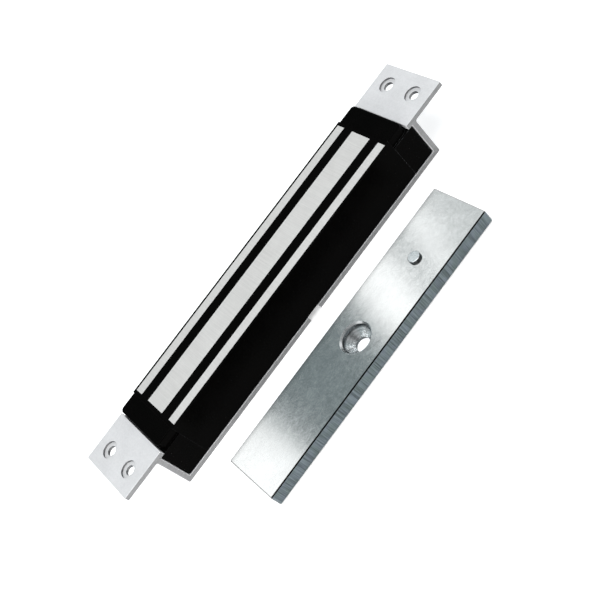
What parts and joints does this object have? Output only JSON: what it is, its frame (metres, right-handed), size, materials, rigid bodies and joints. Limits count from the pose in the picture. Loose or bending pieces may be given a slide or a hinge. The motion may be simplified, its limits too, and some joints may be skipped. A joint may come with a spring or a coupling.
{
  "type": "magnetic door lock",
  "caption": "Flush electromagnetic door lock: long three-pole magnet body held by two drilled end brackets, with a separate steel armature plate carrying a sprung release pin.",
  "frame": {"origin": "centre of the four ear holes, on the seat plane of the bracket ears, the face that meets the door frame", "axes": "+X along the lock towards the cable end, +Z out of the door frame towards the armature, +Y away from the armature plate as it lies beside the magnet"},
  "size_m": [0.2694, 0.1038, 0.033],
  "materials": {
    "pole_steel": "ground lamination edges, fine grain across the poles",
    "black_housing": "smooth black anodised, satin gloss",
    "black_plastic": "moulded black plastic, soft gloss on the rounded edges",
    "black_resin": "cast black resin",
    "bracket_aluminium": "pale matte silver, fine blasted surface with sawn ends",
    "plated_steel": "bright plated steel, soft cloudy reflections, machined sides",
    "pin_steel": "turned steel",
    "screw_steel": "zinc plated",
    "spring_steel": "drawn wire",
    "copper_wire": "enamelled copper turns",
    "bobbin_nylon": "natural nylon",
    "lead_insulation": "red insulation",
    "board_laminate": "green solder mask",
    "varistor_coating": "blue dipped coating",
    "component_black": "moulded black",
    "header_plastic": "moulded black with tinned pins",
    "connector_nylon": "natural nylon",
    "grommet_rubber": "soft black rubber"
  },
  "bodies": {
    "magnet": {"core_laminations": "pole_steel", "core_tie_rods": "screw_steel", "coil_bobbin": "bobbin_nylon", "coil_winding": "copper_wire", "coil_leads": "lead_insulation", "housing_shell": "black_housing", "cap_screws": "screw_steel", "circuit_board": "board_laminate", "surge_varistor": "varistor_coating", "flyback_diode": "component_black", "voltage_header": "header_plastic", "voltage_jumpers": "component_black", "supply_header": "connector_nylon", "cable_grommet": "grommet_rubber", "bracket_screws": "screw_steel", "end_cap_left": "black_plastic", "end_cap_right": "black_plastic", "bracket_left": "bracket_aluminium", "bracket_right": "bracket_aluminium", "potting_compound": "black_resin"},
    "armature": {"armature_plate": "plated_steel", "pin_retainer": "plated_steel", "release_spring": "spring_steel"},
    "release_pin": {"release_pin": "pin_steel"}
  },
  "joints": [
    {"name": "armature_swing", "type": "hinge", "parent": "magnet", "child": "armature", "pos_m": [0, -0.0315, -0.0053], "axis": [-1, 0, 0], "range_deg": [0, 180]},
    {"name": "release_pin_press", "type": "slide", "parent": "armature", "child": "release_pin", "axis": [0, 0, -1], "range_m": [0, 0.0016], "stiffness_N_per_m": 1500, "springref_m": -0.002, "deforming": ["release_spring"]}
  ]
}
